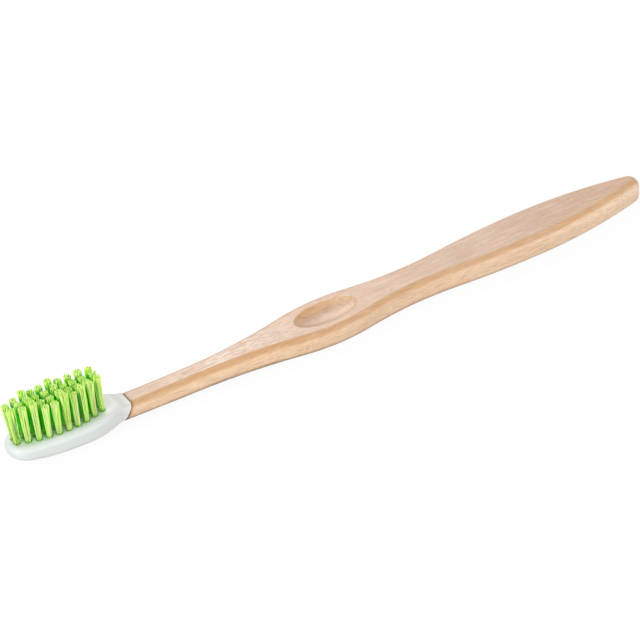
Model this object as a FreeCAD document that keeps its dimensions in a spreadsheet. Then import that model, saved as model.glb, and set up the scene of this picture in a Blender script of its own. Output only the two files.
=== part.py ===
import FreeCAD, Part
import math
import os
import re
import Sketcher

# Manual toothbrush lying on its back: bristles up (+Z), head towards -X.
# Every length is in millimetres. Positions along the brush are measured from the top
# of the shoulder, where the head meets the handle, before the whole is centred on the origin.
dimensions = {
    # handle, plan
    "handle_length": 156.7,
    "neck_width": 7.1,
    "neck_run": 17.5,
    "thumb_width": 15.5,
    "thumb_position": 57.0,
    "thumb_crown_radius": 52.0,
    "waist_width": 10.75,
    "waist_position": 83.5,
    "waist_radius": 95.0,
    "grip_width": 14.6,
    "grip_position": 119.5,
    "tail_radius": 3.0,
    # handle, side
    "neck_lift": 1.05,
    "neck_height": 5.5,
    "sweep_position": 27.5,
    "sweep_height": 5.27,
    "tail_height": 6.93,
    "lift_run": 42.5,
    "edge_round": 2.55,
    "foot_round": 1.65,
    "sand_depth": 0.08,
    # seam between handle and head
    "seam_slant": 2.6,
    "seam_gap": 0.3,
    "seam_depth": 0.9,
    # thumb scoop
    "scoop_position": 56.8,
    "scoop_length": 18.3,
    "scoop_width": 9.1,
    "scoop_depth": 1.8,
    "scoop_wall": 1.0,
    # tenon and socket
    "tenon_width": 3.6,
    "tenon_height": 2.2,
    "tenon_length": 5.2,
    "tenon_groove": 0.3,
    "tenon_groove_width": 1.0,
    "socket_clearance": 0.05,
    # head
    "head_length": 31.9,
    "head_width": 12.9,
    "head_crown": 13.5,
    "head_corner_radius": 20.0,
    "collar_run": 1.3,
    "tip_radius": 5.0,
    "tip_lift": 3.2,
    "deck_height": 6.65,
    "deck_ramp": 4.5,
    "deck_ramp_radius": 5.0,
    "keel_position": 20.5,
    "keel_height": 1.55,
    "deck_round": 1.5,
    "keel_round": 2.0,
    # bristles
    "tuft_first": 2.65,
    "heel_wall": 2.1,
    "field_width": 7.9,
    "field_tip": 2.3,
    "field_heel": 4.2,
    "tuft_gap": 0.05,
    "tuft_spread": 0.18,
    "trim_short": 9.2,
    "trim_middle": 10.1,
    "trim_tall": 10.8,
    "hole_depth": 3.0,
    "hole_clearance": 0.04,
    # anchors
    "anchor_bite": 0.22,
    "anchor_height": 1.2,
    "anchor_thickness": 0.3,
    "anchor_fold": 0.5,
    "anchor_clearance": 0.03,
    # stock left round a blank before it is cut to its outline
    "blank_margin": 2.0,
}

# Rows of tufts from the tip to the heel, the row where the field is widest, and the
# trim of the tufts at the ends and in the middle of each row.
tuft_rows = [2, 3, 4, 4, 4, 4, 4, 4, 4, 3]
widest_row = 5
outer_trim = ["middle", "middle", "tall", "short", "short", "tall", "short", "middle", "middle", "middle"]
inner_trim = ["middle", "middle", "middle", "short", "short", "middle", "short", "short", "short", "middle"]
anchor_angle = 45.0


def row_half_width(row):
    """Formula for half the width of the tuft field at a row."""
    ahead = row < widest_row
    end_name = "field_tip" if ahead else "field_heel"
    run = widest_row if ahead else len(tuft_rows) - 1 - widest_row
    share = ((row - widest_row) / run) ** 2
    return "( field_width - ( field_width - %s ) * %.6f ) / 2" % (end_name, share)


field_run = "( head_length - tuft_first - tenon_length - heel_wall )"
spacings = ["%s * %.6f" % (row_half_width(row), 2 / (count - 1)) for row, count in enumerate(tuft_rows)]
# Sizes that follow from the ones above: tufts as thick as the closest spacing lets them be.
derived = {
    "tuft_pitch": "%s / %d" % (field_run, len(tuft_rows) - 1),
    "tuft_top": "min(tuft_pitch ; %s ) - tuft_gap" % " ; ".join(spacings),
    "tuft_diameter": "tuft_top - 2 * tuft_spread",
    "anchor_width": "tuft_diameter + 2 * anchor_bite",
}

doc = FreeCAD.newDocument("toothbrush")
sheet = doc.addObject("Spreadsheet::Sheet", "sizes")
contents = {alias: str(value) for alias, value in dimensions.items()}
contents.update({alias: "=" + text for alias, text in derived.items()})
for row, (alias, content) in enumerate(contents.items(), 1):
    sheet.set("A%d" % row, alias)
    sheet.set("B%d" % row, content)
    sheet.setAlias("B%d" % row, alias)
    doc.recompute()

START, END, CENTRE = range(1, 4)
X_AXIS = -1


def size(name):
    return float(sheet.get(name))


def formula(text):
    """Prefixes each size named in the text with the sheet that holds it."""
    def full_name(match):
        word = match.group()
        return "sizes." + word if word in contents else word
    return re.sub(r"[a-z_]+", full_name, text)


def solve(text):
    """Gives the number that a formula of sizes stands for."""
    return float(sheet.evalExpression(formula(text)))


def vector(x, y):
    return FreeCAD.Vector(x, y, 0)


def origin_plane(body, role):
    return next(item for item in body.Origin.OriginFeatures if item.Role == role)


def new_sketch(body, name, role):
    sketch = body.newObject("Sketcher::SketchObject", name)
    sketch.AttachmentSupport = [(origin_plane(body, role), "")]
    sketch.MapMode = "FlatFace"
    doc.recompute()
    return sketch


def dimension(sketch, kind, refs, text, value):
    """Adds one driving dimension tied to the sheet."""
    index = sketch.addConstraint(Sketcher.Constraint(kind, *refs, value))
    sketch.setExpression("Constraints[%d]" % index, formula(text))


def place(sketch, geometry, point, x_text, y_text):
    """Holds a point of the sketch at a place given by sizes."""
    dimension(sketch, "DistanceX", (X_AXIS, START, geometry, point), x_text, solve(x_text))
    dimension(sketch, "DistanceY", (X_AXIS, START, geometry, point), y_text, solve(y_text))


def relate(sketch, kind, *refs):
    sketch.addConstraint(Sketcher.Constraint(kind, *refs))


def add_line(sketch, start, end):
    return sketch.addGeometry(Part.LineSegment(vector(*start), vector(*end)), False)


def add_arc(sketch, centre, first, second):
    """Adds the short arc between two points; returns it with the ends at those points."""
    angles = [math.atan2(point[1] - centre[1], point[0] - centre[0]) for point in (first, second)]
    forward = (angles[1] - angles[0]) % (2 * math.pi) < math.pi
    start, end = angles if forward else angles[::-1]
    circle = Part.Circle(vector(*centre), FreeCAD.Vector(0, 0, 1), math.dist(centre, first))
    index = sketch.addGeometry(Part.ArcOfCircle(circle, start, end), False)
    return (index, START, END) if forward else (index, END, START)


def touching_arc(point, slope, through):
    """Centre and radius of the arc that leaves a point at a slope, curves upwards and meets a second point."""
    upward = (-math.sin(slope), math.cos(slope))
    chord = (through[0] - point[0], through[1] - point[1])
    radius = (chord[0] ** 2 + chord[1] ** 2) / (2 * (chord[0] * upward[0] + chord[1] * upward[1]))
    return (point[0] + upward[0] * radius, point[1] + upward[1] * radius), radius


def swing_centres(first, second, radius_at, radius):
    """Centres and radii of two tangent arcs that join two level points, one radius being given."""
    run, rise = second[0] - first[0], second[1] - first[1]
    total = (run ** 2 + rise ** 2) / (2 * abs(rise))
    radii = (radius, total - radius) if radius_at == 0 else (total - radius, radius)
    sign = math.copysign(1, rise)
    centres = ((first[0], first[1] + sign * radii[0]), (second[0], second[1] - sign * radii[1]))
    share = radii[0] / total
    middle = tuple(a + (b - a) * share for a, b in zip(*centres))
    return centres, middle


def add_swing(sketch, first_texts, second_texts, radius_at, radius_text):
    """Adds an S-curve of two tangent arcs, level at both ends."""
    first, second = [tuple(solve(text) for text in texts) for texts in (first_texts, second_texts)]
    centres, middle = swing_centres(first, second, radius_at, solve(radius_text))
    lead = add_arc(sketch, centres[0], first, middle)
    trail = add_arc(sketch, centres[1], middle, second)
    relate(sketch, "Tangent", lead[0], lead[2], trail[0], trail[1])
    relate(sketch, "Vertical", lead[0], lead[1], lead[0], CENTRE)
    relate(sketch, "Vertical", trail[0], trail[2], trail[0], CENTRE)
    rounded = (lead, trail)[radius_at]
    dimension(sketch, "Radius", (rounded[0],), radius_text, solve(radius_text))
    place(sketch, trail[0], trail[2], *second_texts)
    return lead, trail


def add_polygon(sketch, corner_texts):
    """Adds a closed chain of lines through corners given by sizes."""
    corners = [tuple(solve(text) for text in texts) for texts in corner_texts]
    lines = [add_line(sketch, corners[i], corners[(i + 1) % len(corners)]) for i in range(len(corners))]
    for position, line in enumerate(lines):
        relate(sketch, "Coincident", line, END, lines[(position + 1) % len(lines)], START)
        place(sketch, line, START, *corner_texts[position])
    return lines


def add_rectangle(sketch, left, right, low, top):
    add_polygon(sketch, [(left, low), (right, low), (right, top), (left, top)])


def add_pad(body, name, sketch, width_text):
    """Extrudes a side profile evenly to both sides of the length axis."""
    doc.recompute()
    pad = body.newObject("PartDesign::Pad", name)
    pad.Profile = sketch
    pad.SideType = "Symmetric"
    pad.setExpression("Length", formula(width_text))
    doc.recompute()
    return pad


def add_cut(body, name, sketch):
    """Cuts a profile through the body to both sides of its plane."""
    doc.recompute()
    before = body.Tip.Shape.Volume
    cut = body.newObject("PartDesign::Pocket", name)
    cut.Profile = sketch
    cut.Type = "ThroughAll"
    cut.SideType = "Symmetric"
    doc.recompute()
    if not 0 < cut.Shape.Volume < before:
        raise RuntimeError(name + " removed nothing")


def outline_cut(body, name, start_text, first_text, swings, round_text, end_text, side):
    """Cuts a blank to a plan outline that is the same on both sides of the length axis.

    The outline runs level from start to first, swings from crown to crown and ends in a
    round nose; side is +1 or -1 for the way that it runs along X.
    """
    sketch = new_sketch(body, name + "_outline", "XY_Plane")
    width_text = swings[0][0][1]
    start, first = (solve(start_text), solve(width_text)), (solve(first_text), solve(width_text))
    chain = [(add_line(sketch, start, first), START, END)]
    relate(sketch, "Horizontal", chain[0][0])
    place(sketch, chain[0][0], START, start_text, width_text)
    for first_texts, second_texts, radius_at, radius_text in swings:
        lead, trail = add_swing(sketch, first_texts, second_texts, radius_at, radius_text)
        relate(sketch, "Coincident", chain[-1][0], chain[-1][2], lead[0], lead[1])
        chain += [lead, trail]
    dimension(sketch, "DistanceX", (X_AXIS, START, chain[0][0], END), first_text, first[0])
    crown = tuple(solve(text) for text in swings[-1][1])
    nose_radius = solve(round_text)
    nose = (solve(end_text) - side * nose_radius, 0.0)
    run = nose[0] - crown[0]
    flank_radius = (run ** 2 + crown[1] ** 2 - nose_radius ** 2) / (2 * (crown[1] - nose_radius))
    flank_centre = (crown[0], crown[1] - flank_radius)
    reach = math.dist(nose, flank_centre)
    touch = tuple(n + (n - f) / reach * nose_radius for n, f in zip(nose, flank_centre))
    flank = add_arc(sketch, flank_centre, crown, touch)
    tip = add_arc(sketch, nose, touch, (nose[0] + side * nose_radius, 0.0))
    relate(sketch, "Coincident", chain[-1][0], chain[-1][2], flank[0], flank[1])
    relate(sketch, "Vertical", flank[0], flank[1], flank[0], CENTRE)
    relate(sketch, "Tangent", flank[0], flank[2], tip[0], tip[1])
    relate(sketch, "PointOnObject", tip[0], CENTRE, X_AXIS)
    relate(sketch, "PointOnObject", tip[0], tip[2], X_AXIS)
    dimension(sketch, "Radius", (tip[0],), round_text, nose_radius)
    dimension(sketch, "DistanceX", (X_AXIS, START, tip[0], tip[2]), end_text, solve(end_text))
    chain += [flank, tip]
    mirror_chain(sketch, chain)
    back, ahead = ("-", "+") if side > 0 else ("+", "-")
    half = "( max(thumb_width ; grip_width ; head_width ) / 2 + 2 * blank_margin )"
    ends = ["%s %s blank_margin" % (start_text, back), "%s %s blank_margin" % (end_text, ahead)]
    add_rectangle(sketch, ends[0], ends[1], "-" + half, half)
    add_cut(body, name + "_cut", sketch)


def mirror_chain(sketch, chain):
    """Repeats a chain below the length axis, where it ends, and closes the start of the two."""
    copies = []
    for index, first, second in chain:
        curve = sketch.Geometry[index]
        if isinstance(curve, Part.LineSegment):
            ends = [(p.x, -p.y) for p in (curve.StartPoint, curve.EndPoint)]
            copy = (add_line(sketch, *ends), START, END)
        else:
            centre = (curve.Center.x, -curve.Center.y)
            points = [(p.x, -p.y) for p in (curve.StartPoint, curve.EndPoint)]
            ends = points if first == START else points[::-1]
            copy = add_arc(sketch, centre, *ends)
            relate(sketch, "Equal", index, copy[0])
        relate(sketch, "Symmetric", index, first, copy[0], copy[1], X_AXIS)
        if index == chain[-1][0]:
            relate(sketch, "Coincident", index, second, copy[0], copy[2])
        else:
            relate(sketch, "Symmetric", index, second, copy[0], copy[2], X_AXIS)
        copies.append(copy)
    top, bottom = chain[0], copies[0]
    starts = [sketch.getPoint(end[0], end[1]) for end in (top, bottom)]
    cap = add_line(sketch, *[(p.x, p.y) for p in starts])
    relate(sketch, "Coincident", cap, START, top[0], top[1])
    relate(sketch, "Coincident", cap, END, bottom[0], bottom[1])


def seam_place(height_text):
    """Formula for the head's end face, which leans towards the head below the shoulder's top."""
    return "seam_slant * ( %s - neck_height ) / ( neck_height - neck_lift )" % height_text


def rim_names(feature, upward):
    """Names the edges where an upright side wall meets a face above or below it, but not the end face."""
    lean = math.atan2(size("seam_slant"), solve("neck_height - neck_lift"))
    end_normal = FreeCAD.Vector(math.cos(lean), 0, -math.sin(lean))
    names = []
    for number, edge in enumerate(feature.Shape.Edges, 1):
        middle = edge.valueAt((edge.FirstParameter + edge.LastParameter) / 2)
        faces = feature.Shape.ancestorsOfType(edge, Part.Face)
        normals = [face.normalAt(*face.Surface.parameter(middle)) for face in faces]
        walls = [normal for normal in normals if abs(normal.z) < 0.01]
        caps = [normal for normal in normals if normal.z * upward > 0.1]
        ends = [normal for normal in normals if abs(normal.dot(end_normal)) > 0.999]
        if len(walls) == 1 and len(caps) == 1 and not ends:
            names.append("Edge%d" % number)
    return names


def add_round(body, name, radius_text, names):
    """Rounds the named edges of the body's last feature."""
    base = body.Tip
    feature = body.newObject("PartDesign::Fillet", name)
    feature.Base = (base, names)
    feature.setExpression("Radius", formula(radius_text))
    body.Tip = feature
    doc.recompute()


def add_tenon(body, name, grow):
    """Adds the joint's tenon with its grip grooves, or the same form grown by a clearance for its socket."""
    middle = "( neck_height + neck_lift ) / 2"
    high = "( tenon_height / 2 + %s )" % grow
    section = new_sketch(body, name + "_section", "XZ_Plane")
    low, top = ["%s %s %s" % (middle, way, high) for way in "-+"]
    add_rectangle(section, "- tenon_length - " + grow, "blank_margin", low, top)
    add_pad(body, name + "_stem", section, "tenon_width + 2 * " + grow)
    grooves = new_sketch(body, name + "_grooves", "XZ_Plane")
    groove_place = "- ( tenon_length + seam_slant / 2 ) / 2"
    left, right = ["%s %s ( tenon_groove_width / 2 - %s )" % (groove_place, way, grow) for way in "-+"]
    for way in "-+":
        floor = "%s %s ( tenon_height / 2 - tenon_groove + %s )" % (middle, way, grow)
        mouth = "%s %s ( tenon_height / 2 + tenon_groove )" % (middle, way)
        add_rectangle(grooves, left, right, floor, mouth)
    add_cut(body, name + "_grip", grooves)


def add_top(sketch, shoulder_texts, rise):
    """Adds the handle's top in side view, raised above its finished place: an arc from the shoulder, then a line."""
    sweep_texts = ("sweep_position", "sweep_height + " + rise)
    tail_texts = ("handle_length + blank_margin", "tail_height + " + rise)
    corner_texts = (shoulder_texts, sweep_texts, tail_texts)
    shoulder, sweep, tail = [tuple(solve(text) for text in texts) for texts in corner_texts]
    slope = math.atan2(tail[1] - sweep[1], tail[0] - sweep[0])
    arc = add_arc(sketch, touching_arc(sweep, slope, shoulder)[0], shoulder, sweep)
    line = add_line(sketch, sweep, tail)
    relate(sketch, "Tangent", arc[0], arc[2], line, START)
    place(sketch, arc[0], arc[1], *shoulder_texts)
    place(sketch, line, START, *sweep_texts)
    place(sketch, line, END, *tail_texts)
    return arc, line


def centre_on_origin(item):
    item.setExpression("Placement.Base.x", formula("( head_length - handle_length ) / 2"))


# Wooden handle: a blank with the side profile, cut to its plan outline, rounded over and
# then sanded flat on top, which leaves a ridge along the edge of the flat.
handle = doc.addObject("PartDesign::Body", "handle")
doc.recompute()
profile = new_sketch(handle, "handle_profile", "XZ_Plane")
shoulder_low_texts = ("seam_gap - seam_slant", "neck_lift")
stock_height = "( neck_height + sand_depth )"
shoulder_top_texts = ("seam_gap + " + seam_place(stock_height), stock_height)
shoulder_low = tuple(solve(text) for text in shoulder_low_texts)
shoulder_top = tuple(solve(text) for text in shoulder_top_texts)
tail_end = solve("handle_length + blank_margin")
lift = (size("lift_run"), 0.0)
face = add_line(profile, shoulder_low, shoulder_top)
sweep_arc, top = add_top(profile, shoulder_top_texts, "sand_depth")
end = add_line(profile, (tail_end, solve("tail_height + sand_depth")), (tail_end, 0.0))
rest = add_line(profile, (tail_end, 0.0), lift)
lift_arc = add_arc(profile, touching_arc(lift, 0.0, shoulder_low)[0], lift, shoulder_low)
relate(profile, "Coincident", face, END, sweep_arc[0], sweep_arc[1])
relate(profile, "Coincident", top, END, end, START)
relate(profile, "Coincident", end, END, rest, START)
relate(profile, "Tangent", rest, END, lift_arc[0], lift_arc[1])
relate(profile, "Coincident", lift_arc[0], lift_arc[2], face, START)
place(profile, face, START, *shoulder_low_texts)
place(profile, end, END, "handle_length + blank_margin", "0")
place(profile, rest, END, "lift_run", "0")
add_pad(handle, "handle_blank", profile, "max(thumb_width ; grip_width ) + 2 * blank_margin")
neck = ("neck_run", "neck_width / 2")
thumb = ("thumb_position", "thumb_width / 2")
waist = ("waist_position", "waist_width / 2")
grip = ("grip_position", "grip_width / 2")
handle_swings = [
    (neck, thumb, 1, "thumb_crown_radius"),
    (thumb, waist, 0, "thumb_crown_radius"),
    (waist, grip, 0, "waist_radius"),
]
handle_start = "- seam_slant - blank_margin"
outline_cut(handle, "handle", handle_start, "neck_run", handle_swings, "tail_radius", "handle_length", 1)
for name, share, upward in (("edge_round", 0.58, 1), ("foot_round", 0.38, -1)):
    round_text = "min(%s ; %.2f * ( neck_height - neck_lift ) ; 0.45 * neck_width )" % (name, share)
    add_round(handle, "handle_" + name, round_text, rim_names(handle.Tip, upward))
sanding = new_sketch(handle, "sanding_profile", "XZ_Plane")
shoulder_texts = ("0", "neck_height")
sanded_arc, sanded_line = add_top(sanding, shoulder_texts, "0")
roof = "tail_height + blank_margin"
dust_texts = [("handle_length + blank_margin", roof), ("- blank_margin", roof), ("- blank_margin", "neck_height")]
corner_texts = [("handle_length + blank_margin", "tail_height")] + dust_texts + [shoulder_texts]
corners = [tuple(solve(text) for text in texts) for texts in corner_texts]
sides = [add_line(sanding, first, second) for first, second in zip(corners, corners[1:])]
relate(sanding, "Coincident", sanded_line, END, sides[0], START)
for first, second, texts in zip(sides, sides[1:], dust_texts):
    relate(sanding, "Coincident", first, END, second, START)
    place(sanding, second, START, *texts)
relate(sanding, "Coincident", sides[-1], END, sanded_arc[0], sanded_arc[1])
add_cut(handle, "sanding", sanding)
# The seat of the neck stands back from its rim, which leaves the narrow groove round the seam.
seat_section = new_sketch(handle, "seat_section", "XZ_Plane")
seat_low, seat_top = "( neck_lift + seam_depth )", "( neck_height - seam_depth )"
seat_faces = [(seam_place(height), height) for height in (seat_top, seat_low)]
add_polygon(seat_section, seat_faces + [("blank_margin", seat_low), ("blank_margin", seat_top)])
add_pad(handle, "neck_seat", seat_section, "neck_width - 2 * seam_depth")
add_tenon(handle, "tenon", "0")
scoop = handle.newObject("PartDesign::SubtractiveEllipsoid", "thumb_scoop")
top_slope = "( tail_height - sweep_height ) / ( handle_length + blank_margin - sweep_position )"
top_height = "sweep_height + ( scoop_position - sweep_position ) * " + top_slope
rim_share = "sqrt(1 - ( scoop_wall / ( scoop_depth + scoop_wall ) ) ^ 2 )"
scoop.setExpression("Radius1", formula("scoop_depth + scoop_wall"))
scoop.setExpression("Radius2", formula("scoop_length / 2 / " + rim_share))
scoop.setExpression("Radius3", formula("scoop_width / 2 / " + rim_share))
scoop.setExpression("Placement.Base.x", formula("scoop_position"))
scoop.setExpression("Placement.Base.z", formula(top_height + " + scoop_wall"))
handle.Tip = scoop
centre_on_origin(handle)
doc.recompute()

# Brush head: the same way of making it, with the socket, tuft holes and anchor notches cut last.
head_form = doc.addObject("PartDesign::Body", "head_form")
doc.recompute()
profile = new_sketch(head_form, "head_profile", "XZ_Plane")
ramp_foot = ("0", "neck_height")
ramp_top = ("- deck_ramp", "deck_height")
foot, crest = add_swing(profile, ramp_foot, ramp_top, 1, "deck_ramp_radius")
blank_end = "- head_length - blank_margin"
blank_x = solve(blank_end)
keel = (solve("- keel_position"), size("keel_height"))
seat = (solve("- seam_slant"), size("neck_lift"))
tip_point = (solve("- head_length"), size("tip_lift"))
fall = math.atan2(seat[1] - keel[1], seat[0] - keel[0])
keel_centre, keel_radius = touching_arc(keel, fall, tip_point)
keel_rise = keel_centre[1] - math.sqrt(keel_radius ** 2 - (blank_x - keel_centre[0]) ** 2)
deck = add_line(profile, (solve("- deck_ramp"), size("deck_height")), (blank_x, size("deck_height")))
nose = add_line(profile, (blank_x, size("deck_height")), (blank_x, keel_rise))
keel_arc = add_arc(profile, keel_centre, (blank_x, keel_rise), keel)
keel_line = add_line(profile, keel, seat)
joint = add_line(profile, seat, (0.0, size("neck_height")))
tip_mark = profile.addGeometry(Part.Point(vector(*tip_point)), True)
place(profile, foot[0], foot[1], *ramp_foot)
relate(profile, "Coincident", crest[0], crest[2], deck, START)
relate(profile, "Horizontal", deck)
dimension(profile, "DistanceX", (X_AXIS, START, deck, END), blank_end, blank_x)
relate(profile, "Coincident", deck, END, nose, START)
relate(profile, "Vertical", nose)
relate(profile, "Coincident", nose, END, keel_arc[0], keel_arc[1])
relate(profile, "Tangent", keel_arc[0], keel_arc[2], keel_line, START)
place(profile, tip_mark, START, "- head_length", "tip_lift")
relate(profile, "PointOnObject", tip_mark, START, keel_arc[0])
place(profile, keel_line, START, "- keel_position", "keel_height")
place(profile, keel_line, END, "- seam_slant", "neck_lift")
relate(profile, "Coincident", keel_line, END, joint, START)
relate(profile, "Coincident", joint, END, foot[0], foot[1])
add_pad(head_form, "head_blank", profile, "head_width + 2 * blank_margin")
collar = ("- collar_run", "neck_width / 2")
widest = ("- head_crown", "head_width / 2")
head_swings = [(collar, widest, 1, "head_corner_radius")]
outline_cut(head_form, "head", "blank_margin", "- collar_run", head_swings, "tip_radius", "- head_length", -1)
add_round(head_form, "deck_round_over", "deck_round", rim_names(head_form.Tip, 1))
add_round(head_form, "keel_round_over", "keel_round", rim_names(head_form.Tip, -1))

socket = doc.addObject("PartDesign::Body", "socket_form")
doc.recompute()
add_tenon(socket, "socket", "socket_clearance")


def new_solid(kind, name, size_texts, place_texts):
    item = doc.addObject("Part::" + kind, name)
    for size_property, text in size_texts.items():
        item.setExpression(size_property, formula(text))
    for axis, text in zip("xyz", place_texts):
        item.setExpression("Placement.Base." + axis, formula(text))
    return item


def new_plate(name, x_text, y_text, angle, grow):
    """Adds one anchor plate set at an angle across its tuft, grown by a clearance for its notch."""
    wide = "( anchor_width + 2 * %s )" % grow
    thick = "( anchor_thickness + 2 * %s )" % grow
    cosine, sine = math.cos(math.radians(angle)), math.sin(math.radians(angle))
    x_corner = "%s - %s * %.9f + %s * %.9f" % (x_text, wide, cosine / 2, thick, sine / 2)
    y_corner = "%s - %s * %.9f - %s * %.9f" % (y_text, wide, sine / 2, thick, cosine / 2)
    z_corner = "deck_height - hole_depth + anchor_fold - " + grow
    plate_sizes = {"Length": wide, "Width": thick, "Height": "anchor_height + 2 * " + grow}
    plate = new_solid("Box", name, plate_sizes, ())
    plate.Placement.Rotation = FreeCAD.Rotation(FreeCAD.Vector(0, 0, 1), angle)
    for axis, text in zip("xyz", (x_corner, y_corner, z_corner)):
        plate.setExpression("Placement.Base." + axis, formula(text))
    return plate


# Tufts, each a bundle that fills its blind hole and spreads a little above the deck.
tufts, holes, notches, plates = [], [], [], []
for row, count in enumerate(tuft_rows):
    x_text = "- head_length + tuft_first + %d * tuft_pitch" % row
    for number in range(count):
        share = 2 * number / (count - 1) - 1
        y_text = "%s * %.6f" % (row_half_width(row), share)
        spot = (x_text, y_text, "deck_height - hole_depth")
        mark = "%02d_%d" % (row + 1, number + 1)
        radius = "tuft_diameter / 2"
        root = new_solid("Cylinder", "root_" + mark, {"Radius": radius, "Height": "hole_depth"}, spot)
        at_end = number in (0, count - 1)
        trim = "trim_" + (outer_trim if at_end else inner_trim)[row]
        flare = {"Radius1": radius, "Radius2": "tuft_top / 2", "Height": trim}
        stem = new_solid("Cone", "stem_" + mark, flare, (x_text, y_text, "deck_height"))
        bundle = doc.addObject("Part::MultiFuse", "bundle_" + mark)
        bundle.Shapes = [root, stem]
        turn = anchor_angle * ((share < 0) - (share > 0))
        notch = new_plate("notch_" + mark, x_text, y_text, turn, "anchor_clearance")
        tuft = doc.addObject("Part::Cut", "tuft_" + mark)
        tuft.Base = bundle
        tuft.Tool = notch
        centre_on_origin(tuft)
        hole_sizes = {"Radius": radius + " + hole_clearance", "Height": "hole_depth + blank_margin"}
        tufts.append(tuft)
        holes.append(new_solid("Cylinder", "hole_" + mark, hole_sizes, spot))
        notches.append(notch)
        plates.append(new_plate("plate_" + mark, x_text, y_text, turn, "0"))

anchors = doc.addObject("Part::Compound", "tuft_anchors")
anchors.Links = plates
centre_on_origin(anchors)
drill = doc.addObject("Part::Compound", "drill")
drill.Links = holes
bite = doc.addObject("Part::Compound", "bite")
bite.Links = notches
doc.recompute()
cutting = head_form
for name, tool in (("socketed", socket), ("drilled", drill), ("brush_head", bite)):
    result = doc.addObject("Part::Cut", name)
    result.Base = cutting
    result.Tool = tool
    cutting = result
centre_on_origin(cutting)
doc.recompute()

for item in doc.Objects:
    if "Invalid" in item.State or "Error" in item.State:
        raise RuntimeError(item.Name + " did not build")

os.makedirs("parts", exist_ok=True)
for piece in [handle, cutting, anchors] + tufts:
    piece.Label = piece.Name
    if piece.Shape.isNull() or not piece.Shape.isValid():
        raise RuntimeError(piece.Label + " has no sound shape")
    piece.Shape.exportStep("parts/%s.step" % piece.Label)
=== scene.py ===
import math
import random

import bpy
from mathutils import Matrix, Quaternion, Vector


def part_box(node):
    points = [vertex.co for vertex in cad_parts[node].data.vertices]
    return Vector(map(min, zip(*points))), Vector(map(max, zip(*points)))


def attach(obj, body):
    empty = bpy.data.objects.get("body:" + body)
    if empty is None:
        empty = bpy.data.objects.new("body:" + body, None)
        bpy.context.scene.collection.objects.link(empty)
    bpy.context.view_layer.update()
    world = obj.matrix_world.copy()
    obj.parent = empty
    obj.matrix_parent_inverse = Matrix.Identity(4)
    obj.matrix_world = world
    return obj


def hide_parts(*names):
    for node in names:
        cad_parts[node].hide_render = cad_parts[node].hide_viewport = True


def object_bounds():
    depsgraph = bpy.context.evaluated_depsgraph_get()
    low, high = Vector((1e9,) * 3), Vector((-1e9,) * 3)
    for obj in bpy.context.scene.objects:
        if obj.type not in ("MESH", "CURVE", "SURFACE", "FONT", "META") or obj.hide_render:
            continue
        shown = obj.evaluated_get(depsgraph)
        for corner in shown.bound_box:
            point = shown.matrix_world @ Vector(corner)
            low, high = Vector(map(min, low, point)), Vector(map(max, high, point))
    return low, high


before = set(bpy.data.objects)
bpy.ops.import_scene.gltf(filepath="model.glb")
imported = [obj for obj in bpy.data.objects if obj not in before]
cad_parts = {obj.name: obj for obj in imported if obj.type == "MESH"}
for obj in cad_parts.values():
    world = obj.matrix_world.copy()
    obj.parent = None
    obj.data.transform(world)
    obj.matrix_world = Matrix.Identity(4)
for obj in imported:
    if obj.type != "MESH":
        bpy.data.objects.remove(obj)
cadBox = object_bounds()
mm = 0.001
print("frame loaded:", len(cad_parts), "nodes")


# node helpers

def setInput(tree, node, name, value):
    socket = node.inputs[name]
    if isinstance(value, bpy.types.NodeSocket):
        tree.links.new(value, socket)
    elif isinstance(value, tuple) and socket.type == "RGBA" and len(value) == 3:
        socket.default_value = (*value, 1.0)
    else:
        socket.default_value = value


def addNode(tree, kind, inputs=None, **settings):
    node = tree.nodes.new("ShaderNode" + kind)
    for name, value in settings.items():
        setattr(node, name, value)
    for name, value in (inputs or {}).items():
        setInput(tree, node, name, value)
    return node


def mixColor(tree, factor, first, second):
    node = addNode(tree, "Mix", data_type="RGBA")
    for index, value in ((0, factor), (6, first), (7, second)):
        setInput(tree, node, index, value)
    return node.outputs[2]


def mixValue(tree, factor, first, second):
    node = addNode(tree, "Mix")
    for index, value in ((0, factor), (2, first), (3, second)):
        setInput(tree, node, index, value)
    return node.outputs[0]


def remap(tree, value, low, high, toLow=0.0, toHigh=1.0):
    inputs = {"Value": value, "From Min": low, "From Max": high, "To Min": toLow, "To Max": toHigh}
    return addNode(tree, "MapRange", inputs).outputs[0]


def calc(tree, operation, first, second=0.0):
    return addNode(tree, "Math", {0: first, 1: second}, operation=operation).outputs[0]


def times(tree, first, *others):
    product = first
    for value in others:
        product = calc(tree, "MULTIPLY", product, value)
    return product


def largest(tree, first, *others):
    top = first
    for value in others:
        top = calc(tree, "MAXIMUM", top, value)
    return top


def tint(tree, tone, color, mask, share=None):
    # a colour laid over the tone where the mask is
    factor = mask if share is None else times(tree, mask, share)
    return mixColor(tree, factor, tone, color)


def axis(tree, source, letter):
    # one part of the object's own position or normal
    vector = addNode(tree, "TexCoord").outputs[source]
    return addNode(tree, "SeparateXYZ", {0: vector}).outputs[letter]


def newMaterial(name):
    material = bpy.data.materials.new(name)
    material.use_nodes = True
    tree = material.node_tree
    return material, tree, tree.nodes["Principled BSDF"]


def newGroup(name, inputs, outputs):
    group = bpy.data.node_groups.new(name, "ShaderNodeTree")
    for socketName, kind, default in inputs:
        socket = group.interface.new_socket(socketName, in_out="INPUT", socket_type="NodeSocket" + kind)
        socket.default_value = default
    for socketName, kind in outputs:
        group.interface.new_socket(socketName, in_out="OUTPUT", socket_type="NodeSocket" + kind)
    return group, group.nodes.new("NodeGroupInput"), group.nodes.new("NodeGroupOutput")


def placeGroup(tree, group, **inputs):
    node = tree.nodes.new("ShaderNodeGroup")
    node.node_tree = group
    for name, value in inputs.items():
        setInput(tree, node, name, value)
    return node


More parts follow.
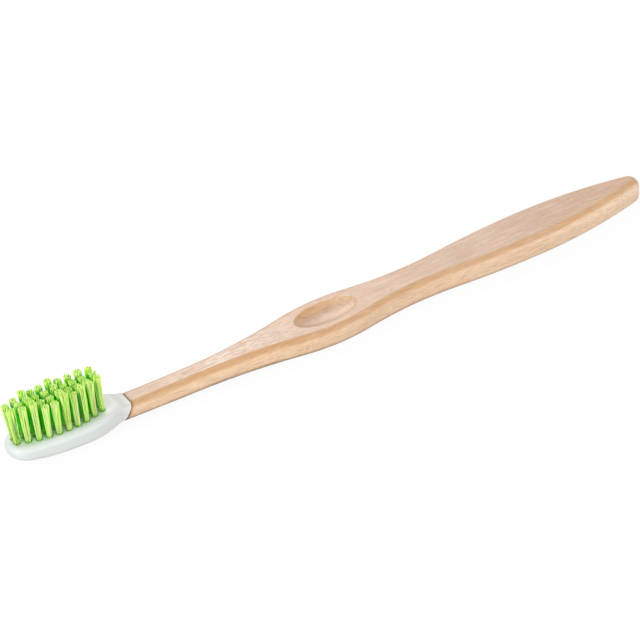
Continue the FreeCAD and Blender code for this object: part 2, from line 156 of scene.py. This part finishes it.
def setSurface(tree, shader, look, tone, grit, height):
    bump = addNode(tree, "Bump", {
        "Strength": look["bumpStrength"], "Distance": look["bumpDepth"], "Height": height})
    setInput(tree, shader, "Base Color", tone)
    setInput(tree, shader, "Roughness", grit.outputs["Roughness"])
    setInput(tree, shader, "Normal", bump.outputs[0])


def setDepth(tree, shader, look):
    # light that goes in and comes out again nearby
    setInput(tree, shader, "Subsurface Weight", look["depthShare"])
    setInput(tree, shader, "Subsurface Radius", look["depthByColor"])
    setInput(tree, shader, "Subsurface Scale", look["depth"])


def setFinish(nodeName, material):
    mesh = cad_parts[nodeName].data
    mesh.materials.clear()
    mesh.materials.append(material)


# effects that several finishes share

def stretch(group, source):
    # object position, scaled along X and across it
    coords = addNode(group, "TexCoord").outputs["Object"]
    across = source.outputs["Across"]
    scale = addNode(group, "CombineXYZ", {"X": source.outputs["Along"], "Y": across, "Z": across})
    return addNode(group, "VectorMath", {0: coords, 1: scale.outputs[0]}, operation="MULTIPLY").outputs[0]


def makeStreaks():
    # long soft streaks along X: one noise, stretched
    group, source, sink = newGroup(
        "Streaks",
        [("Along", "Float", 60.0), ("Across", "Float", 2500.0), ("Detail", "Float", 3.0),
         ("Low", "Float", 0.4), ("High", "Float", 0.6)],
        [("Mask", "Float")],
    )
    noise = addNode(group, "TexNoise", {
        "Vector": stretch(group, source), "Scale": 1.0,
        "Detail": source.outputs["Detail"], "Roughness": 0.55})
    mask = remap(group, noise.outputs[0], source.outputs["Low"], source.outputs["High"])
    group.links.new(mask, sink.inputs["Mask"])
    return group


def makeFlecks():
    # short lens-shaped marks along X, a share of the cells left blank
    group, source, sink = newGroup(
        "Flecks",
        [("Along", "Float", 300.0), ("Across", "Float", 2600.0),
         ("Reach", "Float", 0.3), ("Blank", "Float", 0.5)],
        [("Mask", "Float")],
    )
    cells = addNode(group, "TexVoronoi", {"Vector": stretch(group, source), "Scale": 1.0, "Randomness": 1.0})
    near = remap(group, cells.outputs["Distance"], source.outputs["Reach"], 0.0)
    draw = addNode(group, "SeparateColor", {0: cells.outputs["Color"]}).outputs[0]   # random per cell
    kept = remap(group, draw, source.outputs["Blank"], 1.0)
    group.links.new(times(group, near, kept), sink.inputs["Mask"])
    return group


def makeDrift():
    # slow change of tone over the whole piece
    group, source, sink = newGroup(
        "ToneDrift",
        [("Color", "Color", (0.8, 0.8, 0.8, 1.0)), ("Tint", "Color", (0.7, 0.7, 0.7, 1.0)),
         ("Scale", "Float", 60.0), ("Amount", "Float", 0.3)],
        [("Color", "Color")],
    )
    coords = addNode(group, "TexCoord").outputs["Object"]
    noise = addNode(group, "TexNoise", {
        "Vector": coords, "Scale": source.outputs["Scale"], "Detail": 2.0, "Roughness": 0.5})
    spread = remap(group, noise.outputs[0], 0.35, 0.65)
    tinted = tint(group, source.outputs["Color"], source.outputs["Tint"], spread, source.outputs["Amount"])
    group.links.new(tinted, sink.inputs["Color"])
    return group


def makeGrit():
    # fine even grit for bump and gloss
    group, source, sink = newGroup(
        "FineGrit",
        [("Scale", "Float", 3000.0), ("Dull", "Float", 0.5), ("Gloss", "Float", 0.35)],
        [("Height", "Float"), ("Roughness", "Float")],
    )
    coords = addNode(group, "TexCoord").outputs["Object"]
    fine = addNode(group, "TexNoise", {
        "Vector": coords, "Scale": source.outputs["Scale"], "Detail": 3.0, "Roughness": 0.6}).outputs[0]
    broad = addNode(group, "TexNoise", {
        "Vector": coords, "Scale": 90.0, "Detail": 2.0, "Roughness": 0.5}).outputs[0]
    both = mixValue(group, 0.6, fine, broad)
    rough = remap(group, both, 0.35, 0.65, source.outputs["Gloss"], source.outputs["Dull"])
    group.links.new(fine, sink.inputs["Height"])
    group.links.new(rough, sink.inputs["Roughness"])
    return group


def makeCrowding():
    # how closely other surfaces stand around a point; the mask for painted light and shade
    group, source, sink = newGroup(
        "Crowding",
        [("Reach", "Float", 0.002), ("Open", "Float", 0.6), ("Closed", "Float", 0.2)],
        [("Mask", "Float")],
    )
    clear = addNode(group, "AmbientOcclusion", {"Distance": source.outputs["Reach"]}, samples=6).outputs["AO"]
    mask = remap(group, clear, source.outputs["Open"], source.outputs["Closed"])
    group.links.new(mask, sink.inputs["Mask"])
    return group


streaks = makeStreaks()
flecks = makeFlecks()
toneDrift = makeDrift()
fineGrit = makeGrit()
crowding = makeCrowding()
print("shared effects ready")


# wooden handle

beechLook = {
    # tones, and the upward parts of the normal where each starts and is full
    "sideSheenTone": (0.735, 0.535, 0.355),      # upright sides: wood tone with a painted reflection of the bright floor
    "edgeShadeTone": (0.585, 0.335, 0.148),      # painted shade on the round-over below the ridge; its sharp change from the flat face stands in for a crease
    "edgeShadeSlope": (0.05, 0.75),
    "lowShadeTone": (0.550, 0.335, 0.170),       # painted shade below the upright sides
    "lowShadeSlope": (0.10, -0.28),
    "footShadeTone": (0.150, 0.092, 0.058),      # painted shade on the rounded bottom edge
    "footShadeSlope": (-0.14, -0.56),
    "faceTone": (0.534, 0.340, 0.219),      # sanded flat faces
    "faceSlope": (0.972, 0.994),
    "scoopSlope": (0.74, 1.0),              # the same inside the thumb scoop

    # grain
    "bandTone": (0.500, 0.285, 0.160),
    "bandShare": 0.42,
    "bands": {"Along": 9.0, "Across": 330.0, "Detail": 2.0, "Low": 0.42, "High": 0.66},
    "paleTone": (0.720, 0.520, 0.375),
    "paleShare": 0.40,
    "paleStreaks": {"Along": 110.0, "Across": 1100.0, "Detail": 3.0, "Low": 0.50, "High": 0.70},
    "fibreTone": (0.350, 0.185, 0.100),
    "fibreShare": 0.42,
    "fibres": {"Along": 230.0, "Across": 3200.0, "Detail": 3.0, "Low": 0.46, "High": 0.66},
    "fleckTone": (0.230, 0.110, 0.060),
    "fleckShare": 0.62,
    "fleckOnSides": 0.45,                   # strength off the flat faces
    "flecks": {"Along": 520.0, "Across": 2500.0, "Reach": 0.46, "Blank": 0.30},
    "rayTone": (0.800, 0.650, 0.500),       # pale blotches where the rays are cut
    "rayShare": 0.45,
    "raySlope": (0.70, 0.35),
    "rays": {"Along": 640.0, "Across": 430.0, "Reach": 0.62, "Blank": 0.10},
    "driftScale": 38.0,
    "driftShare": 0.16,

    # places along the handle: where, how far they fade out, how strong
    "scoopPlace": (-5.6 * mm, 0.0, 0.0),
    "scoopHalf": (9.15 * mm, 4.55 * mm, 1.0),
    "scoopRim": (1.01, 0.99),
    "scoopHighlightPlace": 3.0 * mm,                  # painted highlight on the lit end of the scoop, nearer the grip
    "scoopHighlightReach": 12.0 * mm,
    "scoopHighlightShare": 0.45,
    "frontSheenTone": (0.735, 0.640, 0.560),     # painted sheen in pale specks on the flat top ahead of the scoop
    "frontSheenPlace": -33.0 * mm,
    "frontSheenReach": 22.0 * mm,
    "frontSheenShare": 0.72,
    "frontSheenSpecks": {"Along": 420.0, "Across": 2000.0, "Detail": 2.0, "Low": 0.42, "High": 0.68},
    # painted shade: the flat top darker towards the grip, away from the sheen
    "gripShadeTone": (0.400, 0.255, 0.165),
    "gripShadePlace": 44.0 * mm,
    "gripShadeReach": 42.0 * mm,
    "gripShadeShare": 0.52,
    "tailHighlightTone": (0.860, 0.670, 0.490),      # painted highlight on the sides of the rounded end
    "tailPlace": 84.0 * mm,
    "tailReach": 66.0 * mm,
    "tailHighlightShare": 0.62,
    "tailHighlightSlope": (0.75, 0.35),

    # slanted joint with the head
    "seamTone": (0.330, 0.165, 0.080),
    "seamPlace": -62.1 * mm,
    "seamTop": 5.5 * mm,
    "seamLean": 0.584,                      # towards the head per millimetre down
    "seamReach": (0.9 * mm, 0.1 * mm),
    "seamShare": 0.85,

    "grit": {"Scale": 5200.0, "Dull": 0.44, "Gloss": 0.30},
    "gritRelief": 0.35,
    "fleckRelief": 0.7,
    "fibreRelief": 0.4,
    "bumpStrength": 0.5,
    "bumpDepth": 0.06 * mm,
    "ior": 1.5,
}


def insideScoop(tree):
    look = beechLook
    spot = addNode(tree, "TexCoord").outputs["Object"]
    offset = addNode(tree, "VectorMath", {0: spot, 1: look["scoopPlace"]}, operation="SUBTRACT")
    shrunk = addNode(tree, "VectorMath", {0: offset.outputs[0], 1: look["scoopHalf"]}, operation="DIVIDE")
    reach = addNode(tree, "VectorMath", {0: shrunk.outputs[0]}, operation="LENGTH")
    return remap(tree, reach.outputs["Value"], *look["scoopRim"])


def zone(tree, name):
    # full at one place along the handle, and for a quarter of its reach
    look = beechLook
    away = calc(tree, "ABSOLUTE", calc(tree, "SUBTRACT", axis(tree, "Object", "X"), look[name + "Place"]))
    return remap(tree, away, look[name + "Reach"], 0.25 * look[name + "Reach"])


def jointDarkening(tree):
    # darker band of wood along the slanted joint
    look = beechLook
    drop = calc(tree, "SUBTRACT", look["seamTop"], axis(tree, "Object", "Z"))
    joint = calc(tree, "SUBTRACT", look["seamPlace"], times(tree, drop, look["seamLean"]))
    away = calc(tree, "SUBTRACT", axis(tree, "Object", "X"), joint)
    return remap(tree, away, *look["seamReach"], 0.0, look["seamShare"])


def dressHandle():
    look = beechLook
    material, tree, shader = newMaterial("beech")
    upward = axis(tree, "Normal", "Z")
    level = calc(tree, "ABSOLUTE", upward)
    scoop = insideScoop(tree)
    board = remap(tree, level, *look["faceSlope"])
    hollow = remap(tree, level, *look["scoopSlope"])
    flatness = mixValue(tree, scoop, board, hollow)

    # sides, from the round-over down: painted highlight and shade by the way the surface faces
    tone = mixColor(tree, remap(tree, upward, *look["edgeShadeSlope"]), look["sideSheenTone"], look["edgeShadeTone"])
    tone = tint(tree, tone, look["lowShadeTone"], remap(tree, upward, *look["lowShadeSlope"]))
    tone = tint(tree, tone, look["footShadeTone"], remap(tree, upward, *look["footShadeSlope"]))
    # painted highlight on the sides of the rounded end
    tail = times(tree, zone(tree, "tail"), remap(tree, upward, *look["tailHighlightSlope"]))
    tone = tint(tree, tone, look["tailHighlightTone"], tail, look["tailHighlightShare"])
    rays = placeGroup(tree, flecks, **look["rays"]).outputs["Mask"]
    rays = times(tree, rays, remap(tree, upward, *look["raySlope"]))
    tone = tint(tree, tone, look["rayTone"], rays, look["rayShare"])

    # flat faces and the scoop
    tone = tint(tree, tone, look["faceTone"], flatness)
    # painted highlight on the scoop's lit end
    tone = tint(tree, tone, look["paleTone"], times(tree, scoop, zone(tree, "scoopHighlight")), look["scoopHighlightShare"])
    # painted shade on the flat top towards the grip
    tone = tint(tree, tone, look["gripShadeTone"], times(tree, flatness, zone(tree, "gripShade")), look["gripShadeShare"])

    # grain over all of it
    bands = placeGroup(tree, streaks, **look["bands"]).outputs["Mask"]
    tone = tint(tree, tone, look["bandTone"], bands, look["bandShare"])
    pale = placeGroup(tree, streaks, **look["paleStreaks"]).outputs["Mask"]
    tone = tint(tree, tone, look["paleTone"], pale, look["paleShare"])
    fibres = placeGroup(tree, streaks, **look["fibres"]).outputs["Mask"]
    tone = tint(tree, tone, look["fibreTone"], fibres, look["fibreShare"])
    marks = placeGroup(tree, flecks, **look["flecks"]).outputs["Mask"]
    dark = times(tree, marks, mixValue(tree, flatness, look["fleckOnSides"], 1.0))
    tone = tint(tree, tone, look["fleckTone"], dark, look["fleckShare"])
    # painted sheen in pale specks ahead of the scoop
    specks = placeGroup(tree, streaks, **look["frontSheenSpecks"]).outputs["Mask"]
    paintedSheen = times(tree, zone(tree, "frontSheen"), flatness, specks)
    tone = tint(tree, tone, look["frontSheenTone"], paintedSheen, look["frontSheenShare"])
    drift = placeGroup(tree, toneDrift, Color=tone, Tint=look["paleTone"],
                       Scale=look["driftScale"], Amount=look["driftShare"])
    tone = tint(tree, drift.outputs["Color"], look["seamTone"], jointDarkening(tree))

    # pores and fibres lie a little below the surface
    grit = placeGroup(tree, fineGrit, **look["grit"])
    raised = times(tree, grit.outputs["Height"], look["gritRelief"])
    pores = times(tree, marks, look["fleckRelief"])
    sunk = calc(tree, "ADD", pores, times(tree, fibres, look["fibreRelief"]))
    relief = calc(tree, "SUBTRACT", raised, sunk)
    setSurface(tree, shader, look, tone, grit, relief)
    setInput(tree, shader, "IOR", look["ior"])
    setFinish("handle", material)


dressHandle()
print("handle dressed")


# moulded head

plasticLook = {
    "tone": (0.620, 0.645, 0.632),
    "shadeTone": (0.575, 0.610, 0.590),
    "shadeScale": 130.0,
    "shadeShare": 0.6,
    "flowTone": (0.665, 0.695, 0.678),
    "flowShare": 0.25,
    "flow": {"Along": 80.0, "Across": 240.0, "Detail": 2.0, "Low": 0.35, "High": 0.75},
    "tenonTone": (0.680, 0.650, 0.630),     # wood of the tenon, seen through the shoulder
    "tenonSpan": (-71.0 * mm, -63.0 * mm),
    "tenonShare": 0.8,
    "bristleBounceTone": (0.480, 0.800, 0.160),      # painted green light bounced from the bristles onto the plastic near them
    "bristleBounce": {"Reach": 3.0 * mm, "Open": 0.56, "Closed": 0.15},
    "grit": {"Scale": 1500.0, "Dull": 0.50, "Gloss": 0.36},
    "bumpStrength": 0.25,
    "bumpDepth": 0.03 * mm,
    "ior": 1.49,
    "depth": 1.6 * mm,
    "depthShare": 0.7,
    "depthByColor": (0.8, 1.0, 0.9),
}


def dressHead():
    look = plasticLook
    material, tree, shader = newMaterial("milkyPlastic")
    drift = placeGroup(tree, toneDrift, Color=look["tone"], Tint=look["shadeTone"],
                       Scale=look["shadeScale"], Amount=look["shadeShare"])
    flow = placeGroup(tree, streaks, **look["flow"]).outputs["Mask"]
    tone = tint(tree, drift.outputs["Color"], look["flowTone"], flow, look["flowShare"])
    tenon = remap(tree, axis(tree, "Object", "X"), *look["tenonSpan"], 0.0, look["tenonShare"])
    tone = tint(tree, tone, look["tenonTone"], tenon)
    # painted green bounce light where the tufts crowd the deck
    tone = tint(tree, tone, look["bristleBounceTone"], placeGroup(tree, crowding, **look["bristleBounce"]).outputs["Mask"])
    grit = placeGroup(tree, fineGrit, **look["grit"])
    setSurface(tree, shader, look, tone, grit, grit.outputs["Height"])
    setInput(tree, shader, "IOR", look["ior"])
    setDepth(tree, shader, look)
    setFinish("brush_head", material)


dressHead()
print("head dressed")


# hidden anchor plates

brassLook = {
    "tone": (0.62, 0.47, 0.20),
    "wornTone": (0.42, 0.30, 0.13),
    "rolled": {"Along": 900.0, "Across": 14000.0, "Detail": 2.0, "Low": 0.35, "High": 0.7},
    "grit": {"Scale": 9000.0, "Dull": 0.42, "Gloss": 0.28},
    "bumpStrength": 0.3,
    "bumpDepth": 0.01 * mm,
}


def dressAnchors():
    look = brassLook
    material, tree, shader = newMaterial("rolledBrass")
    rolled = placeGroup(tree, streaks, **look["rolled"]).outputs["Mask"]
    tone = mixColor(tree, rolled, look["tone"], look["wornTone"])
    grit = placeGroup(tree, fineGrit, **look["grit"])
    setSurface(tree, shader, look, tone, grit, grit.outputs["Height"])
    setInput(tree, shader, "Metallic", 1.0)
    setFinish("tuft_anchors", material)


dressAnchors()
print("anchors dressed")


# bristle tufts

tuftLook = {
    # shape
    "filaments": 42,
    "filamentRadius": 0.12 * mm,
    "sides": 6,
    "steps": (0.0, 0.3, 0.55, 0.78, 1.0),   # rings along a filament
    "endRings": ((0.55, 0.78), (0.85, 0.42)),   # height and size of the rings that round the end, in radii
    "holeDepth": 3.0 * mm,                  # the tuft's root below the deck
    "shownRoot": 1.2 * mm,                  # how far the filaments reach into the hole
    "baseShare": 0.60,                      # width at the deck, as a share of the width at the trim
    "flare": 1.12,
    "opening": 1.6,                         # above 1, the bundle opens towards the trim
    "lean": 0.11 * mm,
    "nearLean": 0.20 * mm,                  # towards the grip, on the -Y side
    "farLean": -0.45 * mm,
    "tipRowLean": -0.35 * mm,
    "tipRows": 2,
    "wander": 0.08 * mm,
    "trimScatter": 0.15 * mm,
    "dome": 0.10 * mm,
    "seed": 7,
    "trimOffsets": {                        # cut a little long or short
        "tuft_04_4": 0.25 * mm, "tuft_05_4": 0.25 * mm, "tuft_06_2": -0.10 * mm, "tuft_06_3": -0.10 * mm,
        "tuft_06_4": -0.55 * mm, "tuft_07_1": 0.30 * mm, "tuft_08_1": 0.45 * mm, "tuft_08_4": -0.75 * mm,
    },

    # finish; spans are heights along a filament, 0 at the root and 1 at the tip
    "tone": (0.510, 0.910, 0.045),
    "tipTone": (0.880, 0.980, 0.390),
    "strandSpread": 0.80,                   # how much filaments differ
    # painted shade: deeper green towards the root, where the filaments shade each other
    "rootShadeTone": (0.200, 0.800, 0.006),
    "rootShadeSpan": (0.15, 0.5),
    "rootShadeShare": 0.20,
    "driftScale": 420.0,
    "driftShare": 0.35,
    "screenedTone": (0.006, 0.950, 0.001),  # light that has passed through other filaments
    "screen": {"Reach": 4.0 * mm, "Open": 0.53, "Closed": 0.33},
    "footSpan": (0.10, 0.34),               # lit by the pale deck
    "endSpan": (0.74, 0.96),                # trimmed ends stand free
    "freeShare": 0.40,
    "grit": {"Scale": 7000.0, "Dull": 0.42, "Gloss": 0.26},
    "bumpStrength": 0.2,
    "bumpDepth": 0.01 * mm,
    "ior": 1.53,
    "shine": 0.20,
    "depth": 0.35 * mm,
    "depthShare": 1.0,
    "depthByColor": (1.0, 1.0, 1.0),
}


def makeBristleMaterial():
    look = tuftLook
    material, tree, shader = newMaterial("greenNylon")
    strand = addNode(tree, "NewGeometry").outputs["Random Per Island"]
    tone = mixColor(tree, times(tree, strand, look["strandSpread"]), look["tone"], look["tipTone"])
    rise = addNode(tree, "Attribute", attribute_name="rise").outputs["Fac"]
    # painted shade towards the root
    tone = tint(tree, tone, look["rootShadeTone"], remap(tree, rise, *look["rootShadeSpan"], look["rootShadeShare"], 0.0))
    drift = placeGroup(tree, toneDrift, Color=tone, Tint=look["tipTone"],
                       Scale=look["driftScale"], Amount=look["driftShare"])
    screen = placeGroup(tree, crowding, **look["screen"]).outputs["Mask"]
    foot = remap(tree, rise, *look["footSpan"], look["freeShare"], 1.0)
    end = remap(tree, rise, *look["endSpan"], 1.0, look["freeShare"])
    tone = tint(tree, drift.outputs["Color"], look["screenedTone"], times(tree, screen, foot, end))
    grit = placeGroup(tree, fineGrit, **look["grit"])
    setSurface(tree, shader, look, tone, grit, grit.outputs["Height"])
    setInput(tree, shader, "IOR", look["ior"])
    setInput(tree, shader, "Specular IOR Level", look["shine"])
    setDepth(tree, shader, look)
    return material


def filamentPath(base, tip, bend):
    # straight at the foot, opening out towards the trimmed end, with a slight bow
    points = []
    for share in tuftLook["steps"]:
        bow = 4.0 * share * (1.0 - share)   # 1 halfway up
        point = base.lerp(tip, share ** tuftLook["opening"]) + bend * bow
        point.z = base.z + (tip.z - base.z) * share
        points.append(point)
    return points


def addFilament(vertices, faces, rises, points, turn):
    # closed tube with a rounded end
    look = tuftLook
    radius, sides = look["filamentRadius"], look["sides"]
    rings = [(point, radius, share) for point, share in zip(points, look["steps"])]
    for height, size in look["endRings"]:
        rings.append((points[-1] + Vector((0, 0, height * radius)), size * radius, 1.0))
    first = len(vertices)
    for centre, size, share in rings:
        for side in range(sides):
            angle = turn + math.tau * side / sides
            vertices.append(centre + Vector((size * math.cos(angle), size * math.sin(angle), 0)))
            rises.append(share)
    for ring in range(len(rings) - 1):
        low = first + ring * sides
        for side in range(sides):
            following = (side + 1) % sides
            faces.append((low + side, low + following, low + sides + following, low + sides + side))
    faces.append(tuple(first + side for side in reversed(range(sides))))
    last = first + (len(rings) - 1) * sides
    faces.append(tuple(last + side for side in range(sides)))


def tuftLean(centre, row, chance):
    look = tuftLook
    across = centre.y / fieldHalfWidth
    along = look["nearLean"] * max(-across, 0) + look["farLean"] * max(across, 0)
    along += look["tipRowLean"] * max(0, look["tipRows"] + 1 - row) / look["tipRows"]
    return Vector((along, 0, 0)) + Vector((chance.uniform(-1, 1), chance.uniform(-1, 1), 0)) * look["lean"]


def buildTuft(nodeName, material):
    look = tuftLook
    low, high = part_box(nodeName)
    row, place = (int(part) for part in nodeName.split("_")[1:])
    chance = random.Random(look["seed"] * 1000 + row * 10 + place)
    centre = Vector(((low.x + high.x) / 2, (low.y + high.y) / 2, 0))
    topRadius = (high.y - low.y) / 2 * look["flare"] - look["filamentRadius"]
    baseRadius = topRadius * look["baseShare"]
    trim = min(high.z + look["trimOffsets"].get(nodeName, 0.0), cadBox[1][2]) - look["filamentRadius"]
    lean = tuftLean(centre, row, chance)
    golden = math.pi * (3.0 - math.sqrt(5.0))   # even spread of filaments over the bundle
    start = chance.uniform(0, math.tau)
    vertices, faces, rises = [], [], []
    for number in range(look["filaments"]):
        spread = math.sqrt((number + 0.5) / look["filaments"])
        angle = start + golden * number
        out = Vector((math.cos(angle), math.sin(angle), 0)) * spread
        base = centre + out * baseRadius
        base.z = deckHeight - look["shownRoot"]
        tip = centre + lean + out * topRadius
        tip += Vector((chance.gauss(0, 1), chance.gauss(0, 1), 0)) * look["wander"]
        tip.z = trim - abs(chance.gauss(0, 1)) * look["trimScatter"] - look["dome"] * spread ** 2
        bend = Vector((chance.gauss(0, 1), chance.gauss(0, 1), 0)) * look["wander"]
        addFilament(vertices, faces, rises, filamentPath(base, tip, bend), chance.uniform(0, math.tau))
    mesh = bpy.data.meshes.new("bundle_%02d_%d" % (row, place))
    mesh.from_pydata(vertices, [], faces)
    mesh.polygons.foreach_set("use_smooth", [True] * len(mesh.polygons))
    mesh.attributes.new("rise", "FLOAT", "POINT").data.foreach_set("value", rises)
    mesh.materials.append(material)
    bundle = bpy.data.objects.new(mesh.name, mesh)
    bpy.context.scene.collection.objects.link(bundle)
    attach(bundle, "root")
    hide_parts(nodeName)
    return bundle


tuftNodes = sorted(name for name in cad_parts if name.startswith("tuft_") and name != "tuft_anchors")
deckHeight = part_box(tuftNodes[0])[0].z + tuftLook["holeDepth"]
fieldHalfWidth = max(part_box(name)[1].y for name in tuftNodes)
nylon = makeBristleMaterial()
bundles = [buildTuft(name, nylon) for name in tuftNodes]
print("tufts built:", len(bundles), "bundles of", tuftLook["filaments"], "filaments")


# floor, light and camera

studio = {
    "floorTone": (0.60, 0.60, 0.60),
    "floorTint": (0.57, 0.57, 0.57),
    "floorDriftScale": 6.0,
    "floorDriftShare": 0.4,
    "floorRoughness": 0.7,
    "floorSize": 3.0,
    "floorGap": 0.05 * mm,
    "whiteShare": 0.88,                     # how far the floor is plain white to the camera
    "whiteLevel": 1.05,
    "ambient": 0.44,
    "lamps": {                              # spot, width, depth, power
        "backSoftbox": ((0.14, 0.52, 0.43), 0.50, 0.36, 2.7),
        "frontSoftbox": ((0.16, -0.62, 0.17), 0.90, 0.16, 2.7),
        "tipFill": ((-0.58, -0.20, 0.30), 0.40, 0.40, 2.9),
    },
    "aim": (-0.0078, -0.0010, 0.0047),
    "cameraSpot": (-0.2087, -0.3677, 0.3041),
    "cameraRoll": -5.52,
    "lens": 115.10,
}


def aimFrom(spot):
    return (Vector(studio["aim"]) - Vector(spot)).to_track_quat("-Z", "Y")


def seenDirectly(tree):
    # 1 for rays that show the surroundings, 0 for rays that carry light
    path = addNode(tree, "LightPath").outputs
    return largest(tree, path["Is Camera Ray"], path["Is Glossy Ray"], path["Is Transmission Ray"])


def addFloor():
    half = studio["floorSize"] / 2
    corners = [(-half, -half), (half, -half), (half, half), (-half, half)]
    mesh = bpy.data.meshes.new("floor")
    mesh.from_pydata([(x, y, -studio["floorGap"]) for x, y in corners], [], [(0, 1, 2, 3)])
    material, tree, shader = newMaterial("paleFloor")
    drift = placeGroup(tree, toneDrift, Color=studio["floorTone"], Tint=studio["floorTint"],
                       Scale=studio["floorDriftScale"], Amount=studio["floorDriftShare"])
    setInput(tree, shader, "Base Color", drift.outputs["Color"])
    setInput(tree, shader, "Roughness", studio["floorRoughness"])
    white = addNode(tree, "Emission", {"Color": (1.0, 1.0, 1.0), "Strength": studio["whiteLevel"]})
    share = times(tree, seenDirectly(tree), studio["whiteShare"])
    both = addNode(tree, "MixShader", {0: share, 1: shader.outputs[0], 2: white.outputs[0]})
    tree.links.new(both.outputs[0], tree.nodes["Material Output"].inputs["Surface"])
    mesh.materials.append(material)
    floor = bpy.data.objects.new("floor", mesh)
    bpy.context.scene.collection.objects.link(floor)


def addLamp(name, spot, width, depth, power):
    data = bpy.data.lights.new(name, "AREA")
    data.shape = "RECTANGLE"
    data.size = width
    data.size_y = depth
    data.energy = power
    lamp = bpy.data.objects.new(name, data)
    lamp.location = spot
    lamp.rotation_mode = "QUATERNION"
    lamp.rotation_quaternion = aimFrom(spot)
    bpy.context.scene.collection.objects.link(lamp)


def setWorld():
    world = bpy.data.worlds.new("studio")
    world.use_nodes = True
    tree = world.node_tree
    strength = remap(tree, seenDirectly(tree), 0.0, 1.0, studio["ambient"], 1.0)
    setInput(tree, tree.nodes["Background"], "Color", (1.0, 1.0, 1.0))
    setInput(tree, tree.nodes["Background"], "Strength", strength)
    bpy.context.scene.world = world


def addCamera():
    data = bpy.data.cameras.new("camera")
    data.lens = studio["lens"]
    data.clip_start = 0.01
    camera = bpy.data.objects.new("camera", data)
    camera.location = studio["cameraSpot"]
    camera.rotation_mode = "QUATERNION"
    roll = Quaternion((0, 0, 1), math.radians(studio["cameraRoll"]))
    camera.rotation_quaternion = aimFrom(studio["cameraSpot"]) @ roll
    bpy.context.scene.collection.objects.link(camera)
    bpy.context.scene.camera = camera


addFloor()
for lampName, lampValues in studio["lamps"].items():
    addLamp(lampName, *lampValues)
setWorld()
addCamera()
bpy.context.scene.view_settings.view_transform = "Standard"
print("studio set")
